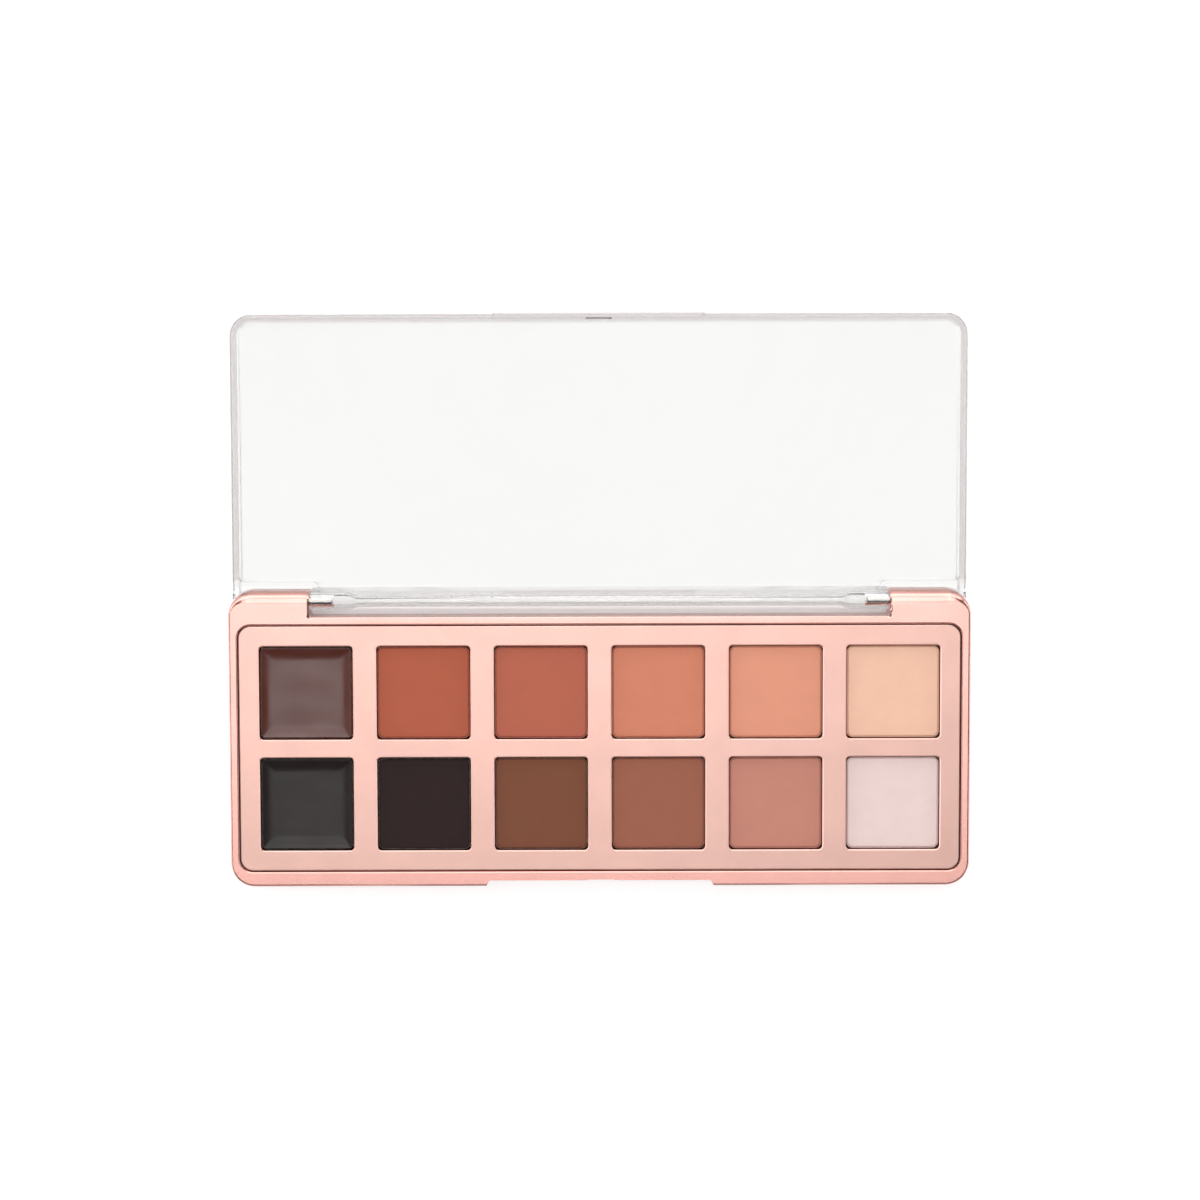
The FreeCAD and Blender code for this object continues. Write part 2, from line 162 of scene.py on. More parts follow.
# %% Material helpers
def new_finish(name):
    """Material with one Principled shader; gives its node tree, the shader and Object coordinates."""
    material = bpy.data.materials.new(name)
    material.use_nodes = True
    tree = material.node_tree
    shader = tree.nodes["Principled BSDF"]
    coordinates = tree.nodes.new("ShaderNodeTexCoord").outputs["Object"]
    return material, tree, shader, coordinates


def noise(tree, vector, grain, detail=2.0, stretch=(1, 1, 1)):
    """Noise whose blotches are about grain metres across; stretch draws them out along an axis."""
    mapping = tree.nodes.new("ShaderNodeMapping")
    mapping.inputs["Scale"].default_value = [1 / (grain * along) for along in stretch]
    texture = tree.nodes.new("ShaderNodeTexNoise")
    texture.inputs["Scale"].default_value = 1.0
    texture.inputs["Detail"].default_value = detail
    tree.links.new(vector, mapping.inputs["Vector"])
    tree.links.new(mapping.outputs["Vector"], texture.inputs["Vector"])
    return texture.outputs["Fac"]


def spread(tree, value, low, high, start=0.3, end=0.7):
    """Maps start to low and end to high; a noise lies mostly between 0.3 and 0.7."""
    node = tree.nodes.new("ShaderNodeMapRange")
    node.inputs["From Min"].default_value = start
    node.inputs["From Max"].default_value = end
    node.inputs["To Min"].default_value = low
    node.inputs["To Max"].default_value = high
    tree.links.new(value, node.inputs["Value"])
    return node.outputs["Result"]


def two_tone(tree, value, dark, light):
    """Colour that goes from dark to light with a value between 0 and 1."""
    node = tree.nodes.new("ShaderNodeMix")
    node.data_type = "RGBA"
    node.inputs["A"].default_value = (*dark, 1)
    node.inputs["B"].default_value = (*light, 1)
    tree.links.new(value, node.inputs["Factor"])
    return node.outputs["Result"]


def paint(tree, shader, value, dark, light):
    """Gives a shader a base colour that goes from dark to light with a value."""
    tree.links.new(two_tone(tree, value, dark, light), shader.inputs["Base Color"])


def bump(tree, height, depth, strength=1.0):
    """Bump whose full height is depth metres."""
    node = tree.nodes.new("ShaderNodeBump")
    node.inputs["Strength"].default_value = strength
    node.inputs["Distance"].default_value = depth
    tree.links.new(height, node.inputs["Height"])
    return node.outputs["Normal"]


def shade(colour, factor):
    """A colour made darker or lighter by a factor."""
    return tuple(min(1.0, part * factor) for part in colour)


print("a grain of 1 mm is a noise scale of", round(1 / MM), "per metre")

# %% [markdown]
# ## Satin rose gold
#
# Case and tray are moulded plastic with a metallised satin coat. It could be a plain metal with
# one roughness, but then the broad tray looks like paper. Soft blotches a few millimetres across
# change the tone a little, and a fine flake, far smaller, breaks up the highlight.

# %% Rose-gold finish
GLOSSY_ROSE = (0.56, 0.30, 0.262)
SATIN_ROSE = (0.60, 0.375, 0.325)


def rose_gold_finish(name, colour, smooth, rough):
    """Metal with cloudy tone, fine flake in its roughness and a very shallow bump."""
    material, tree, shader, place_in = new_finish(name)
    cloud = spread(tree, noise(tree, place_in, 9 * MM, 3.0), 0.0, 1.0)
    flake = noise(tree, place_in, 0.12 * MM, 2.0)
    paint(tree, shader, cloud, shade(colour, 0.96), shade(colour, 1.03))
    tree.links.new(spread(tree, flake, smooth, rough), shader.inputs["Roughness"])
    tree.links.new(bump(tree, flake, 0.004 * MM), shader.inputs["Normal"])
    shader.inputs["Metallic"].default_value = 1.0
    return material


ROSE_GOLDS = {
    "base_shell": rose_gold_finish("rose_gold_gloss", GLOSSY_ROSE, 0.19, 0.27),
    "pan_tray": rose_gold_finish("rose_gold_satin", SATIN_ROSE, 0.30, 0.40),
}
print("made", " and ".join(finish.name for finish in ROSE_GOLDS.values()))

# %% [markdown]
# ## Softened copies of CAD solids
#
# The CAD solids already have every edge of the case, the tray and the lid, so these aren't modelled
# again. A CAD mesh is loose triangles, though, with flat chamfers where the real moulding is
# rounded. So a copy is merged, its flat faces are joined, and the two borders of every chamfer are
# bevelled, which turns the chamfer into an arc. On the lid the sharp upper edges of the walls are
# rounded as well. Bevel modifiers with an angle limit could do this too, but they would also catch
# the facets of the fillets.

# %% Edges to round
CHAMFER_LEGS = (0.2 * MM, 0.5 * MM)
CHAMFER_SLACK = 0.02
SHARP_ANGLE = math.radians(80)
LEVEL = 0.999
UPRIGHT = 0.02


def chamfer_leg(face):
    """Height of a face that slopes at 45 degrees, and 0 for every other face."""
    if abs(abs(face.normal.z) - math.sqrt(0.5)) >= CHAMFER_SLACK:
        return 0.0
    heights = [corner.co.z for corner in face.verts]
    return max(heights) - min(heights)


def chamfer_borders(work, leg):
    """Edges where a chamfer of a given leg meets a level or an upright face."""
    chamfers = {face for face in work.faces if abs(chamfer_leg(face) - leg) < CHAMFER_SLACK * leg}
    borders = {edge for face in chamfers for edge in face.edges}
    return [edge for edge in borders if len(chamfers.intersection(edge.link_faces)) == 1]


def brim_edges(work):
    """Sharp outer edges between a level face that looks up and an upright face."""
    return [
        edge
        for edge in work.edges
        if len(edge.link_faces) == 2
        and edge.calc_face_angle_signed() > SHARP_ANGLE
        and max(face.normal.z for face in edge.link_faces) > LEVEL
        and min(abs(face.normal.z) for face in edge.link_faces) < UPRIGHT
    ]


print("chamfers of", [round(leg / MM, 2) for leg in CHAMFER_LEGS], "mm become arcs")

# %% [markdown]
# ## Merging and rounding
#
# The edges found are rounded on a working copy, with the operators that Edit Mode has: merge by
# distance, limited dissolve and bevel. Doing it by hand would take an hour and would have to be done
# again after every change of the CAD model. At the end the points are put in a fixed order, so that
# every run gives the same mesh.

# %% Softened copy
MERGE_DISTANCE = 0.002 * MM
FLAT_ANGLE = math.radians(0.05)
ROUNDING_SHARE = 0.6
ROUNDING_STEPS = 3


def rounded(work, edges, reach):
    """Bevels edges of a working mesh into arcs that start a given reach away from them."""
    bmesh.ops.bevel(
        work,
        geom=edges,
        offset=reach,
        segments=ROUNDING_STEPS,
        profile=0.5,
        affect="EDGES",
        clamp_overlap=True,
    )


def in_order(mesh):
    """Numbers points and faces by their places alone, because bevels number them anew each run.

    Formula: points are sorted by z, then y, then x, and faces by the new numbers of their points.
    Each face keeps the corner that it starts at, as that decides how it is cut into triangles.
    """
    points = np.array([corner.co for corner in mesh.vertices])
    order = np.lexsort(points.T)
    rank = np.argsort(order)
    faces = sorted(rank[list(face.vertices)].tolist() for face in mesh.polygons)
    mesh.clear_geometry()
    mesh.from_pydata(points[order].tolist(), [], faces)
    return mesh


def softened_copy(node, brim=0.0):
    """Merged copy of a CAD mesh with its chamfers rounded, and its sharp upper edges by the brim."""
    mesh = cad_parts[node].data.copy()
    mesh.name = node + "_dressed"
    work = bmesh.new()
    work.from_mesh(mesh)
    bmesh.ops.remove_doubles(work, verts=work.verts, dist=MERGE_DISTANCE)
    bmesh.ops.dissolve_limit(work, angle_limit=FLAT_ANGLE, verts=work.verts, edges=work.edges)
    for leg in CHAMFER_LEGS:
        rounded(work, chamfer_borders(work, leg), ROUNDING_SHARE * leg)
    if brim:
        rounded(work, brim_edges(work), brim)
    work.to_mesh(mesh)
    work.free()
    return in_order(mesh)


print("an arc has", ROUNDING_STEPS, "steps and starts", ROUNDING_SHARE, "of a leg away from its edge")

# %% [markdown]
# ## Shading normals for moulded edges
#
# On a moulding the broad faces are truly flat and all of the bend is in the small roundings. Plain
# smooth shading spreads that bend over the flat faces too, which shows as streaks in a satin metal.
# So the normals are set outright: level faces point straight up, upright ones straight out, and
# what lies between takes its normals from them.

# %% Settled normals
AGREEMENT = 60
UPRIGHT_AGREEMENT = 35


def mean_normals(mesh, point, rows):
    """Unit mean of the rows that belong to each point, and zero where there are none."""
    total = np.zeros((len(mesh.vertices), 3))
    np.add.at(total, point, rows)
    length = np.linalg.norm(total, axis=1, keepdims=True)
    return np.divide(total, length, out=np.zeros_like(total), where=length > 0)


def settle_normals(mesh):
    """Sets the normals of a mesh so that level and upright faces have the say.

    Formula: each corner starts with the normal of its own face. The mean of all faces at its point,
    weighted by area, then of the upright ones, then of the level ones replaces it in turn, whenever
    that mean is within 60 degrees of the face's own normal, or 35 degrees for an upright face.
    """
    normal = np.empty(3 * len(mesh.polygons))
    area, corners = np.empty(len(mesh.polygons)), np.empty(len(mesh.polygons), int)
    point = np.empty(len(mesh.loops), int)
    mesh.polygons.foreach_get("normal", normal)
    mesh.polygons.foreach_get("area", area)
    mesh.polygons.foreach_get("loop_total", corners)
    mesh.loops.foreach_get("vertex_index", point)
    own = np.repeat(normal.reshape(-1, 3), corners, axis=0)
    weight = np.repeat(area, corners)[:, None]
    rise = np.abs(own[:, 2])
    limit = np.cos(np.radians(np.where(rise < UPRIGHT, UPRIGHT_AGREEMENT, AGREEMENT)))
    settled = own.copy()
    for chosen in (rise >= 0, rise < UPRIGHT, rise > LEVEL):
        mean = mean_normals(mesh, point[chosen], (own * weight)[chosen])[point]
        agrees = (mean * own).sum(axis=1) > limit
        settled[agrees] = mean[agrees]
    mesh.shade_smooth()
    mesh.normals_split_custom_set(settled.tolist())
    return mesh


print("a face counts as level within", round(math.degrees(math.acos(LEVEL)), 1), "degrees")

# %% [markdown]
# ## Case and tray
#
# The case is one shell with a rim, a notch at the front and an ear at each back corner. The tray is a
# plate with twelve windows that clips into it. Both could be drawn again as meshes, but the CAD has
# them to a hundredth of a millimetre, so each is a softened copy with settled normals. The case gets
# the glossier of the two rose golds.

# %% Case and tray
for node, rose_gold in ROSE_GOLDS.items():
    dressed = place(settle_normals(softened_copy(node)), node, "case", rose_gold)
    print(node, "has", len(dressed.data.polygons), "faces after merging and rounding")

# %% [markdown]
# ## Pressed powder
#
# A pressed cake is flat because a die struck it, with a slightly rounded edge and the faint
# unevenness of packed powder. The unevenness is real height on the rings, a sum of waves from one
# to five millimetres long. Sculpting it by hand would do as well, but waves can be repeated.

# %% Shape of a powder cake
CAKE_ROUND = 0.22 * MM
CAKE_CORNER = 0.95 * MM
POWDER_RELIEF = 0.012 * MM


def uneven(x, y, seed):
    """Gentle relief between about -1 and 1.

    Formula: the mean of nine sine waves in x and y, with lengths from 1.2 to 5 mm, in directions
    and phases drawn from a seeded generator.
    """
    draw = np.random.default_rng(seed)
    length = np.geomspace(1.2, 5.0, 9) * MM
    heading = draw.uniform(0, 2 * np.pi, 9)
    phase = draw.uniform(0, 2 * np.pi, 9)
    along = x[..., None] * np.cos(heading) + y[..., None] * np.sin(heading)
    return np.sin(2 * np.pi * along / length + phase).mean(axis=-1) * 2


def powder_points(node, seed):
    """Points of a pressed cake over (ring, step).

    Formula: rings grow over the flat top, follow a quarter circle over the edge, run down the
    pan's wall and close under the cake. The relief is added where the top is flat.
    """
    low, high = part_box(node)
    half = (high.x - low.x) / 2
    x0, y0 = middle(node)
    curl = np.linspace(0, np.pi / 2, 6)
    top = np.linspace(0.02, 1, 40) * (half - CAKE_ROUND)
    over = half - CAKE_ROUND + CAKE_ROUND * np.sin(curl)
    size = np.hstack([top, over, [half, half * 0.5]])
    height = np.hstack([0 * top + high.z, high.z - CAKE_ROUND * (1 - np.cos(curl)), [low.z, low.z]])
    x, y = rounded_rings(size, CAKE_CORNER * size / half)
    flat = np.hstack([0 * top + 1, np.cos(curl) ** 2, [0, 0]])[:, None]
    z = height[:, None] - flat * POWDER_RELIEF * (1 + uneven(x + x0, y + y0, seed))
    return np.stack([x + x0, y + y0, z], axis=-1)


print("the powder's relief is", round(POWDER_RELIEF / MM, 3), "mm")

# %% [markdown]
# ## Powder finish
#
# Pressed powder is matte, and its grain is finer than any sensible mesh, so a noise makes it: it
# moves the tone a little, roughens the surface and raises a bump. A second noise, a few millimetres
# across, stands for the mottling of mixed pigments. Each shade is one paint put into the same nodes.

# %% Powder cakes
def powder_finish(name, colour):
    """Matte powder: fine two-tone grain, a little broad mottling and a soft sheen at grazing light."""
    material, tree, shader, place_in = new_finish(name)
    grain = noise(tree, place_in, 0.14 * MM, 3.0)
    mottle = noise(tree, place_in, 4 * MM, 2.0)
    tone = tree.nodes.new("ShaderNodeMath")
    tone.operation = "MULTIPLY_ADD"
    tree.links.new(spread(tree, grain, 0.0, 0.6), tone.inputs[0])
    tone.inputs[1].default_value = 1.0
    tree.links.new(spread(tree, mottle, 0.08, 0.32), tone.inputs[2])
    paint(tree, shader, tone.outputs[0], shade(colour, 0.93), shade(colour, 1.07))
    tree.links.new(spread(tree, grain, 0.78, 0.92), shader.inputs["Roughness"])
    tree.links.new(bump(tree, grain, 0.02 * MM, 0.6), shader.inputs["Normal"])
    shader.inputs["Specular IOR Level"].default_value = 0.05
    return material


POWDERS = {
    "powder_back_2": ("brick_powder", (0.46, 0.12, 0.07)),
    "powder_back_3": ("rust_powder", (0.49, 0.14, 0.09)),
    "powder_back_4": ("apricot_powder", (0.67, 0.24, 0.15)),
    "powder_back_5": ("peach_powder", (0.78, 0.33, 0.22)),
    "powder_back_6": ("vanilla_powder", (0.91, 0.56, 0.41)),
    "powder_front_2": ("espresso_powder", (0.034, 0.022, 0.021)),
    "powder_front_3": ("chestnut_powder", (0.21, 0.08, 0.047)),
    "powder_front_4": ("mocha_powder", (0.35, 0.13, 0.084)),
    "powder_front_5": ("rosewood_powder", (0.58, 0.25, 0.19)),
    "powder_front_6": ("shell_powder", (0.85, 0.67, 0.64)),
}
for seed, (node, (shade_name, colour)) in enumerate(POWDERS.items()):
    cake = ring_mesh(node + "_cake", powder_points(node, seed))
    place(cake, node, "case", powder_finish(shade_name, colour))
print("made", len(POWDERS), "powder cakes of", len(cake.polygons), "faces each")

# %% [markdown]
# ## Poured cream
#
# The two left pans hold a cream that was poured hot. It sank as it set and clung to the pan's
# wall, so its border climbs and the four slopes meet in mitred corners. A grid pushed down in the
# middle could show that too, but rings whose corner radius stays small all the way in draw the
# mitres by themselves.

# %% Shape of a cream
CREAM_BORDER = 2.6 * MM
CREAM_DIP = 0.58 * MM
CREAM_CLIMB = 2.0
CREAM_CORNER = 0.45 * MM
CREAM_SWELL = 0.008 * MM
CREAM_SEED = 40


def cream_points(node, seed):
    """Points of a poured cream over (ring, step).

    Formula: at a distance w from the wall the surface lies below the rim by the dip times
    1 - (1 - w / border) to the power of its climb, and level further in, with a slow swell there.
    """
    low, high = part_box(node)
    half = (high.x - low.x) / 2
    x0, y0 = middle(node)
    inner = np.linspace(0.02, 1, 24) * (half - CREAM_BORDER)
    slope = half - CREAM_BORDER * np.linspace(1, 0, 26)[1:]
    size = np.hstack([inner, slope, [half, half * 0.5]])
    depth = np.clip(1 - (half - size) / CREAM_BORDER, 0, 1) ** CREAM_CLIMB
    x, y = rounded_rings(size, 0 * size + CREAM_CORNER)
    swell = uneven((x + x0) / 3, (y + y0) / 3, seed) * (1 - depth[:, None])
    z = high.z - CREAM_DIP * (1 - depth[:, None]) + CREAM_SWELL * swell
    z[-2:] = low.z
    return np.stack([x + x0, y + y0, z], axis=-1)


print("a cream dips by", round(CREAM_DIP / MM, 2), "mm over", round(CREAM_BORDER / MM, 2), "mm")

# %% [markdown]
# ## Cream finish
#
# A cream is dark and has a soft gloss, so what shows on it is mostly the sky it mirrors. Faint clouds
# change its tone, and a slow noise, drawn out the way the cream ran, changes its polish and its level.
# The two creams differ in paint and in how strongly they mirror.

# %% Creams
def cream_finish(name, colour, gloss):
    """Set cream: soft gloss, faint clouds of tone and a smooth low bump from pouring."""
    material, tree, shader, place_in = new_finish(name)
    cloud = spread(tree, noise(tree, place_in, 5 * MM, 2.0), 0.0, 1.0)
    pour = noise(tree, place_in, 3 * MM, 0.0, (2, 1, 1))
    paint(tree, shader, cloud, shade(colour, 0.92), shade(colour, 1.08))
    tree.links.new(spread(tree, pour, 0.28, 0.36), shader.inputs["Roughness"])
    tree.links.new(bump(tree, pour, 0.01 * MM), shader.inputs["Normal"])
    shader.inputs["Specular IOR Level"].default_value = gloss
    return material


CREAMS = {
    "cream_back_1": ("cocoa_cream", (0.085, 0.017, 0.009), 0.63),
    "cream_front_1": ("charcoal_cream", (0.018, 0.013, 0.012), 0.27),
}
for seed, (node, (shade_name, colour, gloss)) in enumerate(CREAMS.items()):
    cream = ring_mesh(node + "_poured", cream_points(node, CREAM_SEED + seed))
    place(cream, node, "case", cream_finish(shade_name, colour, gloss))
print("made", len(CREAMS), "creams of", len(cream.polygons), "faces each")

# %% [markdown]
# ## Metal pans
#
# Each cake sits in a thin pressed pan, of which only the rim shows, in the dark gap of the window.
# A solidified sheet would be close, but its rim would be square. The same rings draw the section
# outright: out over the floor, up the inside, over a rolled rim and down the outside.

# %% Shape of a pan
PAN_CORNER = 1.2 * MM
PAN_WALL = 0.25 * MM
PAN_FLOOR = 0.3 * MM
PAN_LEAST_CORNER = 0.1 * MM


def pan_points(node):
    """Points of a thin square cup over (ring, step).

    Formula: from a pole on the inner floor the rings go out to the wall, up it, over the rim on a
    half circle as wide as the wall, down the outside and in under the floor to the other pole.
    """
    low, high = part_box(node)
    half = (high.x - low.x) / 2
    x0, y0 = middle(node)
    lip = PAN_WALL / 2
    roll = np.linspace(0, np.pi, 7)
    rim = half - lip - lip * np.cos(roll)
    inside = half - PAN_WALL
    size = np.hstack([[inside / 2, inside, inside], rim[1:-1], [half, half, half / 2]])
    floor = low.z + PAN_FLOOR
    rise = high.z - lip + lip * np.sin(roll)
    height = np.hstack([[floor, floor, rise[0]], rise[1:-1], [rise[-1], low.z, low.z]])
    x, y = rounded_rings(size, np.maximum(PAN_CORNER - (half - size), PAN_LEAST_CORNER))
    return np.stack([x + x0, y + y0, height[:, None] + 0 * x], axis=-1)


print("a pan's wall is", round(PAN_WALL / MM, 2), "mm and its floor", round(PAN_FLOOR / MM, 2), "mm")

# %% [markdown]
# ## Dusted tin
#
# Pressing leaves a film of powder on the rim. Twelve materials could show it. Instead each pan
# carries the shade of its own make-up as a colour attribute, and one material reads it and lets the
# drawn metal through in patches.

# %% Pans
def pan_finish():
    """Pressed tin under a film of powder: patches of dust let the drawn metal show between them."""
    material, tree, shader, place_in = new_finish("pan_tin")
    dust = tree.nodes.new("ShaderNodeAttribute")
    dust.attribute_name = "dust"
    lines = noise(tree, place_in, 0.08 * MM, 2.0, (1, 1, 30))
    patch = spread(tree, noise(tree, place_in, 0.6 * MM, 3.0), 0.75, 1.0)
    film = tree.nodes.new("ShaderNodeMix")
    film.data_type = "RGBA"
    tree.links.new(patch, film.inputs["Factor"])
    tree.links.new(two_tone(tree, lines, (0.30, 0.28, 0.27), (0.42, 0.40, 0.39)), film.inputs["A"])
    tree.links.new(dust.outputs["Color"], film.inputs["B"])
    tree.links.new(film.outputs["Result"], shader.inputs["Base Color"])
    tree.links.new(spread(tree, lines, 0.5, 0.7), shader.inputs["Roughness"])
    shader.inputs["Metallic"].default_value = 0.2
    shader.inputs["Specular IOR Level"].default_value = 0.2
    return material


def dusted(mesh, colour):
    """Gives every point of a pan the colour of the make-up in it, a little darker."""
    layer = mesh.attributes.new("dust", "FLOAT_COLOR", "POINT")
    row = np.array([*shade(colour, 0.85), 1.0])
    layer.data.foreach_set("color", np.tile(row, len(mesh.vertices)))
    return mesh


SHADES = {node: entry[1] for node, entry in {**POWDERS, **CREAMS}.items()}
pan_tin = pan_finish()
for node, colour in SHADES.items():
    pan = "pan_" + node.split("_", 1)[1]
    cup = dusted(ring_mesh(pan + "_tin", pan_points(pan)), colour)
    place(cup, pan, "case", pan_tin)
print("made", len(SHADES), "pans of", len(cup.polygons), "faces each")

# %% [markdown]
# ## Hinge pins
#
# Two steel pins join lid and case. Each is cut from drawn wire with its ends tumbled round. The Spin
# tool could turn one from half an outline. As arrays it is a profile of radius against length,
# carried round the hinge axis.

# %% Shape of a pin
PIN_STEPS = 48
PIN_NOSE = 0.25 * MM


def pin_points(node):
    """Points of a drawn pin with rounded ends over (place along it, angle).

    Formula: the radius grows on a quarter ellipse from 0.8 to 1 of its full size over the nose at
    each end and is constant between them. Each radius is carried round an axis along X.
    """
    low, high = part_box(node)
    radius = (high.z - low.z) / 2
    curl = np.linspace(0.15, np.pi / 2, 6)
    inset = PIN_NOSE * (1 - np.cos(curl))
    along = np.sort(np.hstack([low.x + inset, high.x - inset]))
    reach = np.minimum((along - low.x) / PIN_NOSE, (high.x - along) / PIN_NOSE).clip(0, 1)
    size = radius * (0.8 + 0.2 * np.sqrt(1 - (1 - reach) ** 2))
    angle = np.linspace(0, 2 * np.pi, PIN_STEPS, endpoint=False)[None, :]
    y0, z0 = (low.y + high.y) / 2, (low.z + high.z) / 2
    y = y0 + size[:, None] * np.cos(angle)
    z = z0 - size[:, None] * np.sin(angle)
    return np.stack([along[:, None] + 0 * y, y, z], axis=-1)


print("a pin's ends are rounded over", round(PIN_NOSE / MM, 2), "mm")

# %% [markdown]
# ## Steel and adhesive
#
# Drawn wire has fine streaks along its length, which a noise stretched sixty times gives. The squares
# of adhesive under the pans are thin flat pieces, so their CAD boxes stay as they are and only get a
# finish with short fibres in it.

# %% Pins and pads
def steel_finish():
    """Drawn steel wire: fine streaks along the pin."""
    material, tree, shader, place_in = new_finish("drawn_steel")
    streak = noise(tree, place_in, 0.05 * MM, 2.0, (60, 1, 1))
    paint(tree, shader, streak, (0.26, 0.25, 0.24), (0.46, 0.45, 0.44))
    tree.links.new(spread(tree, streak, 0.16, 0.27), shader.inputs["Roughness"])
    shader.inputs["Metallic"].default_value = 1.0
    return material


def adhesive_finish():
    """Double-sided adhesive: waxy off-white with short fibres."""
    material, tree, shader, place_in = new_finish("adhesive_tissue")
    fibre = noise(tree, place_in, 0.3 * MM, 3.0, (4, 1, 1))
    paint(tree, shader, fibre, (0.72, 0.68, 0.58), (0.86, 0.83, 0.74))
    tree.links.new(spread(tree, fibre, 0.5, 0.7), shader.inputs["Roughness"])
    return material


steel = steel_finish()
for node in ("hinge_pin_left", "hinge_pin_right"):
    pin = ring_mesh(node + "_drawn", pin_points(node))
    place(pin, node, "case", steel)
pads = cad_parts["glue_pads"]
pads.data.materials.clear()
pads.data.materials.append(adhesive_finish())
print("each pin has", len(pin.polygons), "faces")

# %% [markdown]
# ## Clear lid
#
# The lid is one clear moulding, and what shows of it is refraction at its walls, rail and
# knuckles, so its mesh has to be closed and truly solid. A merged copy of the CAD solid is that.
# The tint is set at the surface and counts at every crossing. The walls look greyer from above, as
# light has come the whole way up through them. A volume could do that, but it would also darken the
# thick rail. So the tint differs by place: clearest on the rail, slight on the panel, and greyest on
# the upper edges of the walls, where the grey is painted shade.

# %% Tint of the lid
PANEL_TINT = (0.88, 0.88, 0.87)
# Painted shade: a darker grey for the upper edges of the walls, standing for light lost along them.
WALL_TOP_PAINTED_SHADE = (0.54, 0.49, 0.49)
RAIL_TINT = (0.97, 0.96, 0.95)
WALL_START = (2.5 * MM, 3.0 * MM)
PANEL_START = (0.2 * MM, 0.8 * MM)
EARS_CLEARED = (1.6 * MM, 2.2 * MM)


def lid_tint_and_painted_shade(tree, vector):
    """Tint of the lid: clearest along the hinge rail and greyest, as painted shade, on the upper edge
    of the walls.

    Formula: past the back of the case the rail's tint turns into the panel's, and past the ears,
    wherever the lid is higher than its panel, into the painted shade of the upper edges.
    """
    rail_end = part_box("base_shell")[1].y
    parts = tree.nodes.new("ShaderNodeSeparateXYZ")
    tree.links.new(vector, parts.inputs["Vector"])
    above_panel = spread(tree, parts.outputs["Z"], 0, 1, *WALL_START)
    past_rail = spread(tree, parts.outputs["Y"], 0, 1, *(rail_end + gap for gap in PANEL_START))
    past_ears = spread(tree, parts.outputs["Y"], 0, 1, *(rail_end + gap for gap in EARS_CLEARED))
    # Painted shade: past the ears, where the lid stands above its panel, the tint turns to the darker
    # grey.
    wall_top_shade = tree.nodes.new("ShaderNodeMath")
    wall_top_shade.operation = "MULTIPLY"
    tree.links.new(above_panel, wall_top_shade.inputs[0])
    tree.links.new(past_ears, wall_top_shade.inputs[1])
    tint = tree.nodes.new("ShaderNodeMix")
    tint.data_type = "RGBA"
    tint.inputs["A"].default_value = (*RAIL_TINT, 1)
    tree.links.new(two_tone(tree, wall_top_shade.outputs[0], PANEL_TINT, WALL_TOP_PAINTED_SHADE), tint.inputs["B"])
    tree.links.new(past_rail, tint.inputs["Factor"])
    return tint.outputs["Result"]


# %% [markdown]
# ## Clear plastic
#
# Moulded plastic bends light a little less than window glass does, and is never quite flat. A sheet
# with no thickness and some transparency would be quicker, but would lose the bright and dark lines
# along the walls. So the solid gets full transmission, and one slow noise changes its polish and
# ripples its surface.

# %% Clear plastic
LID_BRIM = 0.15 * MM


def clear_finish():
    """Clear moulded plastic: full transmission, a faint change of polish and a slow ripple."""
    material, tree, shader, place_in = new_finish("clear_moulding")
    ripple = noise(tree, place_in, 30 * MM, 1.0)
    tree.links.new(lid_tint_and_painted_shade(tree, place_in), shader.inputs["Base Color"])
    shader.inputs["Transmission Weight"].default_value = 1.0
    shader.inputs["IOR"].default_value = 1.49
    tree.links.new(spread(tree, ripple, 0.04, 0.06), shader.inputs["Roughness"])
    tree.links.new(bump(tree, ripple, 0.01 * MM), shader.inputs["Normal"])
    return material


lid_mesh = settle_normals(softened_copy("clear_lid", LID_BRIM))
place(lid_mesh, "clear_lid", "lid", clear_finish())
print("lid has", len(lid_mesh.polygons), "faces")

# %% [markdown]
# ## White table
#
# The palette lies on a plain white table. A lamp bright enough to burn the table out to white would
# also burn out the make-up, so the table glows a little by itself. It glows less where the lid lies,
# a painted shadow that keeps the clear panel a shade darker than its surround, and least under the
# case, a painted shadow there too, so that no light leaks up through the hinge.

# %% Glow of the table
OPEN_GLOW = 0.55
# Painted shadow: the table glows less under the lid and least under the case.
LID_SHADOW_GLOW = 0.43
CASE_SHADOW_GLOW = 0.2


def outside_box(tree, vector, low, high):
    """Value that is 0 inside a plan rectangle and 1 outside it, with a soft edge inside.

    Formula: the larger of |x - middle| / half and |y - middle| / half, stretched from 0.98 to 1.
    """
    centre, half = (low + high) / 2, (high - low) / 2
    mapping = tree.nodes.new("ShaderNodeMapping")
    mapping.vector_type = "TEXTURE"
    mapping.inputs["Location"].default_value = (centre.x, centre.y, 0)
    mapping.inputs["Scale"].default_value = (half.x, half.y, 1)
    size = tree.nodes.new("ShaderNodeVectorMath")
    size.operation = "ABSOLUTE"
    parts = tree.nodes.new("ShaderNodeSeparateXYZ")
    larger = tree.nodes.new("ShaderNodeMath")
    larger.operation = "MAXIMUM"
    edge = tree.nodes.new("ShaderNodeMapRange")
    edge.inputs["From Min"].default_value = 0.98
    tree.links.new(vector, mapping.inputs["Vector"])
    tree.links.new(mapping.outputs["Vector"], size.inputs[0])
    tree.links.new(size.outputs["Vector"], parts.inputs["Vector"])
    tree.links.new(parts.outputs["X"], larger.inputs[0])
    tree.links.new(parts.outputs["Y"], larger.inputs[1])
    tree.links.new(larger.outputs["Value"], edge.inputs["Value"])
    return edge.outputs["Result"]


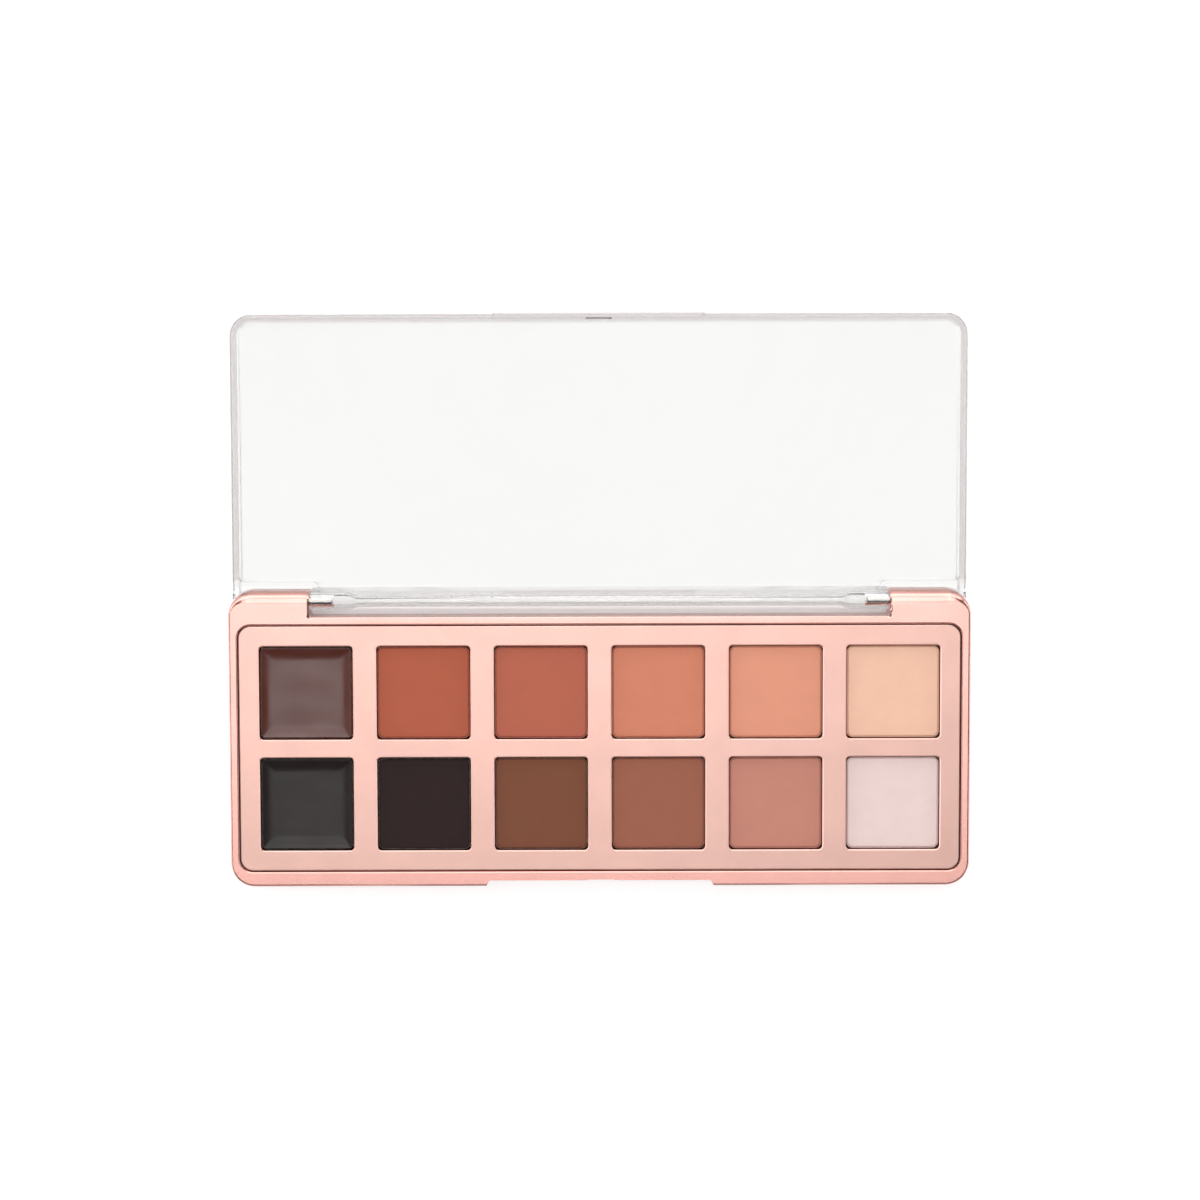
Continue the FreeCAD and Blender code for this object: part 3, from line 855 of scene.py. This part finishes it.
def table_glow(tree, vector):
    """Glow of the table: full in the open, and lowered as painted shadow, less under the clear lid and
    least under the case.
    """
    low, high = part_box("base_shell")
    high.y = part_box("clear_lid")[0].y
    # Painted shadow: the glow falls to the lid's level under the lid and to the case's level under the
    # case.
    shadowed_glow = tree.nodes.new("ShaderNodeMapRange")
    shadowed_glow.inputs["To Min"].default_value = CASE_SHADOW_GLOW
    shadowed_glow.inputs["To Max"].default_value = LID_SHADOW_GLOW
    in_open = tree.nodes.new("ShaderNodeMapRange")
    in_open.inputs["To Max"].default_value = OPEN_GLOW
    tree.links.new(outside_box(tree, vector, low, high), shadowed_glow.inputs["Value"])
    tree.links.new(outside_box(tree, vector, *cad_box), in_open.inputs["Value"])
    tree.links.new(shadowed_glow.outputs["Result"], in_open.inputs["To Min"])
    return in_open.outputs["Result"]


print("the table glows at", OPEN_GLOW, LID_SHADOW_GLOW, CASE_SHADOW_GLOW, "in the open, under lid and under case")

# %% [markdown]
# ## Table top
#
# The top is one flat square, far larger than the view, so that no edge of it shows. A plane from the
# Add menu would do as well. It is matte, because a glossy one would mirror the lamps beside the
# palette.

# %% Table
def table_finish():
    """Matte white table with a hardly visible tone and a glow, as under a strong studio light."""
    material, tree, shader, place_in = new_finish("white_table")
    cloud = noise(tree, place_in, 60 * MM, 2.0)
    paint(tree, shader, cloud, (0.70, 0.70, 0.70), (0.73, 0.73, 0.73))
    shader.inputs["Roughness"].default_value = 0.9
    shader.inputs["Specular IOR Level"].default_value = 0.0
    shader.inputs["Emission Color"].default_value = (1, 1, 1, 1)
    tree.links.new(table_glow(tree, place_in), shader.inputs["Emission Strength"])
    return material


TABLE_HALF = 3.0
corner = np.array([[-1, -1], [1, -1], [1, 1], [-1, 1]]) * TABLE_HALF
table_mesh = bpy.data.meshes.new("table")
table_mesh.from_pydata(np.column_stack([corner, 0 * corner[:, 0]]).tolist(), [], [[0, 1, 2, 3]])
table_mesh.materials.append(table_finish())
table = bpy.data.objects.new("table", table_mesh)
bpy.context.scene.collection.objects.link(table)
print("the table is", 2 * TABLE_HALF, "m wide")

# %% [markdown]
# ## Soft boxes
#
# Rose gold shows little but what it mirrors, so the lamps are placed for their reflections. The
# overhead box is what the tray and the creams mirror. The back box lights the round of the ears. The
# low walls all round give the edges something pale, and the front stays darkest, which draws the dark
# upper band of the creams. A faint box on the left softens the shadows. A sky picture could do all
# this, but boxes are easier to move.

# %% Light
def soft_box(name, where, towards, size, brightness):
    """Rectangular soft box at a place, turned to shine along a direction.

    Formula: a lamp of area A that should look as bright as B needs the power B times pi times A.
    """
    light = bpy.data.lights.new(name, "AREA")
    light.shape = "RECTANGLE"
    light.size, light.size_y = size
    light.energy = brightness * math.pi * size[0] * size[1]
    lamp = bpy.data.objects.new(name, light)
    lamp.location = where
    lamp.rotation_euler = Vector(towards).to_track_quat("-Z", "Y").to_euler()
    bpy.context.scene.collection.objects.link(lamp)


soft_box("overhead", (-0.17, 0.08, 1.4), (0, 0, -1), (1.14, 0.78), 2.7)
soft_box("back_box", (-0.02, 1.02, 1.17), (0.02, -0.70, -0.72), (0.80, 1.15), 3.3)
soft_box("back_wall", (-0.10, 1.35, 0.30), (0, -1, 0), (2.2, 0.6), 3.4)
soft_box("left_box", (-1.15, 0.35, 0.75), (1, 0, -0.35), (2.1, 0.9), 0.5)
soft_box("left_wall", (-1.25, 0.10, 0.20), (1, 0, 0), (2.2, 0.40), 4.0)
soft_box("right_wall", (1.25, 0.10, 0.20), (-1, 0, 0), (2.2, 0.40), 3.2)
soft_box("front_wall", (0, -1.25, 0.35), (0, 1, 0), (2.2, 0.7), 1.1)
world = bpy.data.worlds.new("surround")
world.use_nodes = True
surround = world.node_tree.nodes["Background"]
surround.inputs["Color"].default_value = (1, 1, 1, 1)
surround.inputs["Strength"].default_value = 0.09
bpy.context.scene.world = world
bpy.context.scene.view_settings.view_transform = "Standard"
print("placed", len(bpy.data.lights), "soft boxes")

# %% [markdown]
# ## Camera
#
# The camera stands almost straight above, a little towards the hinge, as in the photograph. Its aim,
# tilt and roll come from lining up the corners of the windows, the case and the lid.

# %% Camera
LENS = 93.0
DISTANCE = 0.6
AIM = Vector((0.00012, 0.02608, 0.0))
TILT = math.radians(5.0)
ROLL = math.radians(-0.157)
turned = Matrix.Rotation(-TILT, 4, "X") @ Matrix.Rotation(ROLL, 4, "Z")
camera_data = bpy.data.cameras.new("camera")
camera_data.lens = LENS
camera_data.sensor_width = 36.0
camera_data.sensor_fit = "HORIZONTAL"
camera = bpy.data.objects.new("camera", camera_data)
camera.matrix_world = Matrix.Translation(AIM + turned.to_3x3() @ Vector((0, 0, DISTANCE))) @ turned
bpy.context.scene.collection.objects.link(camera)
bpy.context.scene.camera = camera
print("camera stands at", [round(part, 3) for part in camera.location])
